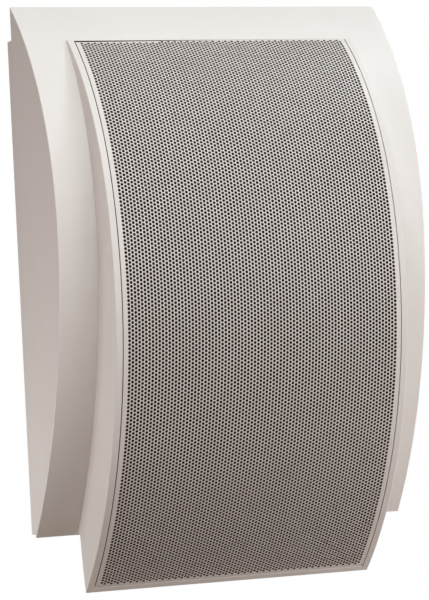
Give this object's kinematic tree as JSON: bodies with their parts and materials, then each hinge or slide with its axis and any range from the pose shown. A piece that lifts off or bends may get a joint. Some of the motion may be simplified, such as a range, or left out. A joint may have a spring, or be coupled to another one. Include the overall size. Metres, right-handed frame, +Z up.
{
  "type": "on-wall speaker",
  "caption": "On-wall two-way loudspeaker with a bowed wall frame, a narrower bowed grille that hangs below it, and a flat wall plate.",
  "frame": {"origin": "centre of the wall-screw pattern on the wall plane", "axes": "+Z up, +X to the viewer's right seen from the front, the front faces -Y, the wall is at Y = 0"},
  "size_m": [0.2066, 0.0842, 0.3062],
  "materials": {
    "housing_plastic": "light grey-white moulded plastic, fine satin grain",
    "plate_plastic": "light grey-white moulded plastic, fine satin grain",
    "seal_foam": "closed-cell foam strip",
    "grommet_rubber": "soft black rubber",
    "grille_paint": "light grey-white powder coat on perforated steel",
    "cloth": "dark open-weave acoustic cloth",
    "board_wood": "dense fibreboard",
    "basket_steel": "black coated pressed steel",
    "gasket_card": "pressed fibre",
    "surround_rubber": "moulded rubber",
    "cone_paper": "pressed paper pulp",
    "cap_paper": "coated pressed paper",
    "former_film": "thin rolled foil",
    "copper": "enamelled copper wire",
    "spider_cloth": "resin-dipped corrugated cloth",
    "zinc_steel": "bright zinc plate",
    "ferrite": "sintered ferrite",
    "phenolic": "brown laminate",
    "tag_metal": "tinned brass",
    "face_plastic": "black moulded plastic",
    "dome_silk": "coated woven silk",
    "neodymium": "nickel plate",
    "circuit_board": "green lacquered laminate",
    "film_capacitor": "glossy wrapped film",
    "cement": "white cement",
    "terminal_plastic": "ivory moulded plastic",
    "lead_pvc": "soft insulation",
    "wadding": "polyester wadding",
    "screw_steel": "zinc-plated steel",
    "black_screw": "black-coated steel"
  },
  "bodies": {
    "cabinet": {"baffle": "board_wood", "baffle_screws": "screw_steel", "cable_grommet": "grommet_rubber", "crossover_board": "circuit_board", "crossover_capacitor": "film_capacitor", "crossover_coil": "copper", "crossover_resistor": "cement", "crossover_screws": "screw_steel", "damping_pads": "wadding", "front_housing": "housing_plastic", "grille": "grille_paint", "grille_cloth": "cloth", "housing_screws": "screw_steel", "input_lead": "lead_pvc", "rim_seal": "seal_foam", "terminal_block": "terminal_plastic", "terminal_screws": "screw_steel", "tweeter_coil": "copper", "tweeter_cup": "zinc_steel", "tweeter_dome": "dome_silk", "tweeter_faceplate": "face_plastic", "tweeter_lead": "lead_pvc", "tweeter_magnet": "neodymium", "tweeter_pole": "zinc_steel", "tweeter_screws": "black_screw", "tweeter_top_ring": "zinc_steel", "wall_plate": "plate_plastic", "woofer_basket": "basket_steel", "woofer_gasket": "gasket_card", "woofer_lead": "lead_pvc", "woofer_magnet": "ferrite", "woofer_screws": "black_screw", "woofer_spider": "spider_cloth", "woofer_surround": "surround_rubber", "woofer_tag_strip": "phenolic", "woofer_tags": "tag_metal", "woofer_top_plate": "zinc_steel", "woofer_yoke": "zinc_steel"},
    "cone_assembly": {"woofer_cone": "cone_paper", "woofer_dust_cap": "cap_paper", "voice_coil_former": "former_film", "voice_coil": "copper"}
  },
  "joints": [
    {"name": "cone_travel", "type": "slide", "parent": "cabinet", "child": "cone_assembly", "axis": [0, -1, 0], "range_m": [-0.002, 0.002], "stiffness_N_per_m": 1200, "deforming": ["woofer_surround", "woofer_spider"]}
  ]
}
